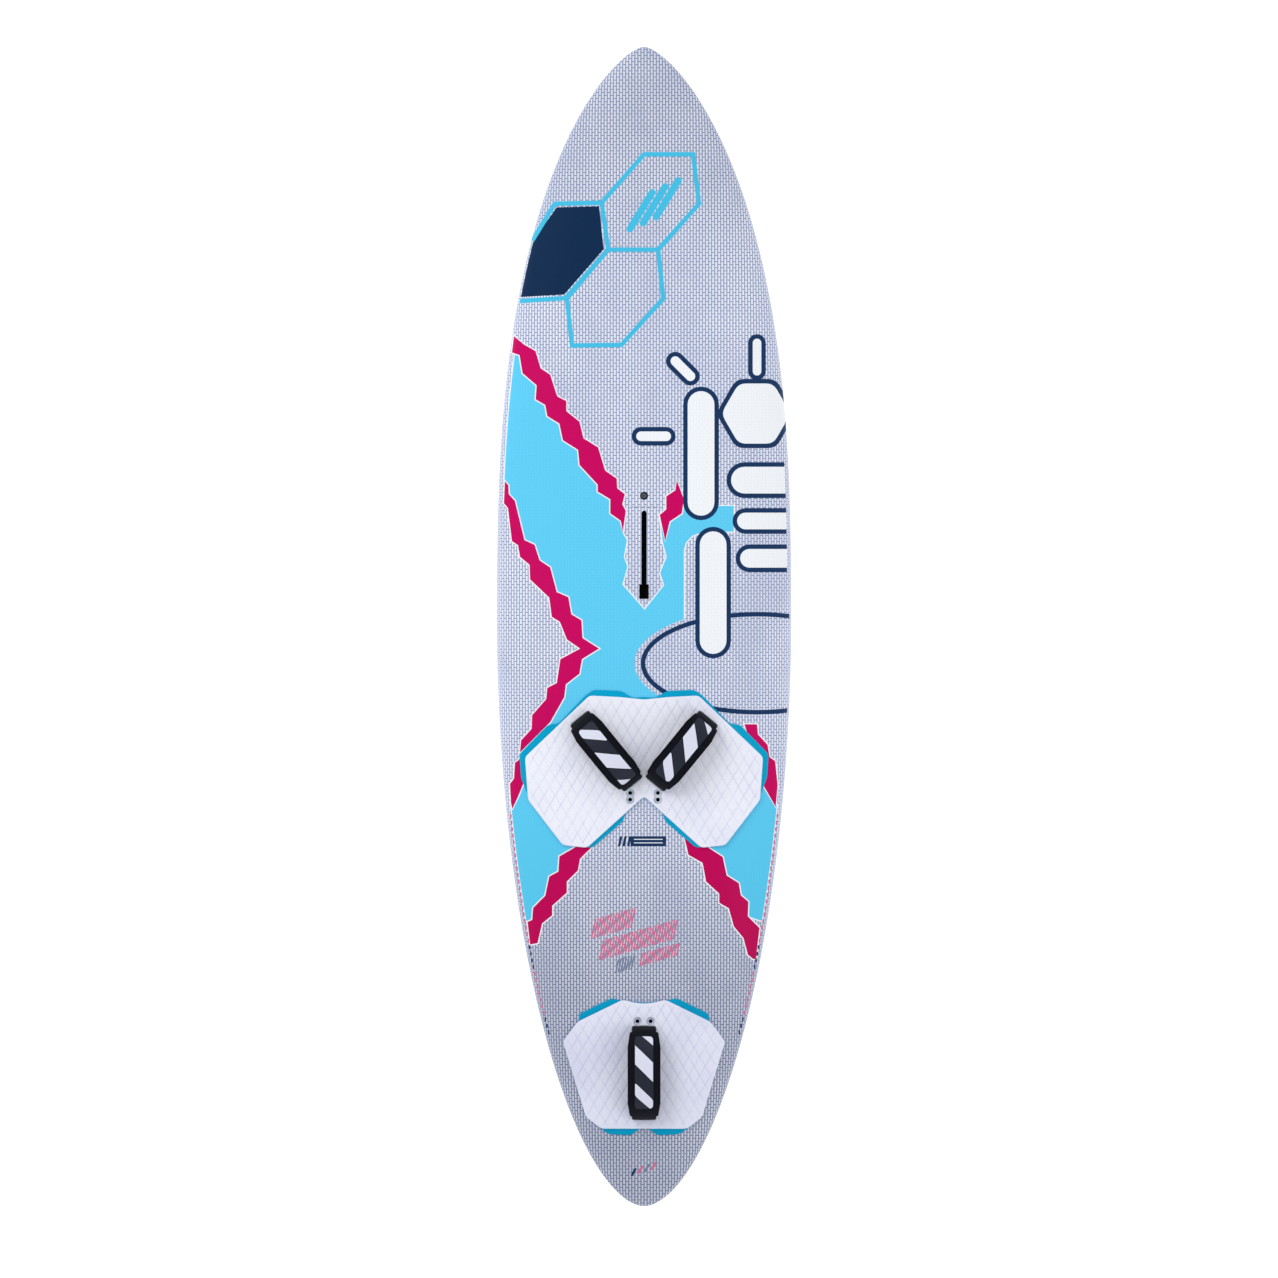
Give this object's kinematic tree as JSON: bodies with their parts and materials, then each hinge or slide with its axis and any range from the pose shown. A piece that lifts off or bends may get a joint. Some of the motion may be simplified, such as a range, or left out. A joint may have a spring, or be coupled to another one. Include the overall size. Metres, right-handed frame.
{
  "type": "windsurf board",
  "caption": "Short wave-riding windsurf board with sliding mast slot, two-layer deck pads, padded footstraps, vent screw and thruster fins.",
  "frame": {"origin": "on the deck, at the middle of the mast slot", "axes": "+Y towards the nose along the centre line, +Z out of the deck, +X to the board's right"},
  "size_m": [0.5844, 2.2978, 0.3635],
  "materials": {
    "deck_laminate": "woven fibre sandwich laminate under clear coat, printed graphics",
    "bottom_laminate": "sprayed sandwich laminate, satin",
    "core_foam": "expanded foam",
    "dense_foam": "dense structural foam",
    "moulded_plastic": "black injection-moulded plastic",
    "plug_plastic": "light grey injection-moulded plastic",
    "teal_eva": "foamed rubber sheet",
    "white_eva": "foamed rubber sheet, moulded diamond relief",
    "webbing": "woven polyester webbing",
    "cover_neoprene": "padded neoprene",
    "panel_vinyl": "printed striped fabric",
    "washer_plastic": "glass-filled plastic",
    "vent_metal": "stainless steel",
    "seal_rubber": "O-ring rubber",
    "fin_laminate": "glass-fibre laminate, polished",
    "brass": "turned brass",
    "stainless": "stainless steel"
  },
  "bodies": {
    "root": {"bottom_skin": "bottom_laminate", "centre_fin_block": "dense_foam", "centre_fin_box": "moulded_plastic", "deck_skin": "deck_laminate", "foam_core": "core_foam", "front_left_strap_screws": "stainless", "front_left_strap_tabs": "webbing", "front_left_strap_washers": "washer_plastic", "front_pad_base": "teal_eva", "front_pad_top": "white_eva", "front_plug_blocks": "dense_foam", "front_right_strap_screws": "stainless", "front_right_strap_tabs": "webbing", "front_right_strap_washers": "washer_plastic", "front_strap_plugs": "plug_plastic", "left_fin_block": "dense_foam", "left_fin_box": "moulded_plastic", "mast_track_block": "dense_foam", "mast_track_box": "moulded_plastic", "rear_pad_base": "teal_eva", "rear_pad_top": "white_eva", "rear_plug_blocks": "dense_foam", "rear_strap_plugs": "plug_plastic", "rear_strap_screws": "stainless", "rear_strap_tabs": "webbing", "rear_strap_washers": "washer_plastic", "right_fin_block": "dense_foam", "right_fin_box": "moulded_plastic", "vent_housing": "moulded_plastic"},
    "vent_ring": {"vent_seal": "seal_rubber"},
    "vent_plug": {"vent_screw": "vent_metal"},
    "front_left_strap": {"front_left_strap_webbing": "webbing", "front_left_strap_cover": "cover_neoprene", "front_left_strap_panel": "panel_vinyl"},
    "front_right_strap": {"front_right_strap_webbing": "webbing", "front_right_strap_cover": "cover_neoprene", "front_right_strap_panel": "panel_vinyl"},
    "rear_strap": {"rear_strap_webbing": "webbing", "rear_strap_cover": "cover_neoprene", "rear_strap_panel": "panel_vinyl"},
    "centre_fin_set": {"centre_fin": "fin_laminate", "centre_fin_pin": "brass", "centre_fin_nut": "brass", "centre_fin_screw": "stainless"},
    "left_fin_set": {"left_fin": "fin_laminate", "left_fin_pin": "brass", "left_fin_nut": "brass", "left_fin_screw": "stainless"},
    "right_fin_set": {"right_fin": "fin_laminate", "right_fin_pin": "brass", "right_fin_nut": "brass", "right_fin_screw": "stainless"}
  },
  "joints": [
    {"name": "vent_lift", "type": "slide", "parent": "root", "child": "vent_ring", "axis": [0, 0, 1], "range_m": [0, 0.005]},
    {"name": "vent_turn", "type": "hinge", "parent": "vent_ring", "child": "vent_plug", "pos_m": [0, 0.103, 0.00075], "axis": [0, 0, 1], "range_deg": [0, 1800]},
    {"name": "front_left_strap_tilt", "type": "hinge", "parent": "root", "child": "front_left_strap", "pos_m": [-0.0745, -0.4031, 0.0005], "axis": [0.6348, -0.7727, 0.0004], "range_deg": [-2, 15]},
    {"name": "front_right_strap_tilt", "type": "hinge", "parent": "root", "child": "front_right_strap", "pos_m": [0.0745, -0.4031, 0.0005], "axis": [0.6348, 0.7727, -0.0004], "range_deg": [-2, 15]},
    {"name": "rear_strap_tilt", "type": "hinge", "parent": "root", "child": "rear_strap", "pos_m": [0, -1.0412, -0.03154], "axis": [0, 0.9956, 0.0933], "range_deg": [-15, 15]},
    {"name": "centre_fin_slide", "type": "slide", "parent": "root", "child": "centre_fin_set", "axis": [0, 0.9995, -0.0322], "range_m": [-0.015, 0.015]},
    {"name": "left_fin_slide", "type": "slide", "parent": "root", "child": "left_fin_set", "axis": [0.0417, 0.9986, -0.0337], "range_m": [-0.008, 0.008]},
    {"name": "right_fin_slide", "type": "slide", "parent": "root", "child": "right_fin_set", "axis": [-0.0417, 0.9986, -0.0337], "range_m": [-0.008, 0.008]}
  ],
  "couplings": [
    {"joint": "vent_turn", "follows": "vent_lift", "rad_per_m": 6283.2}
  ]
}
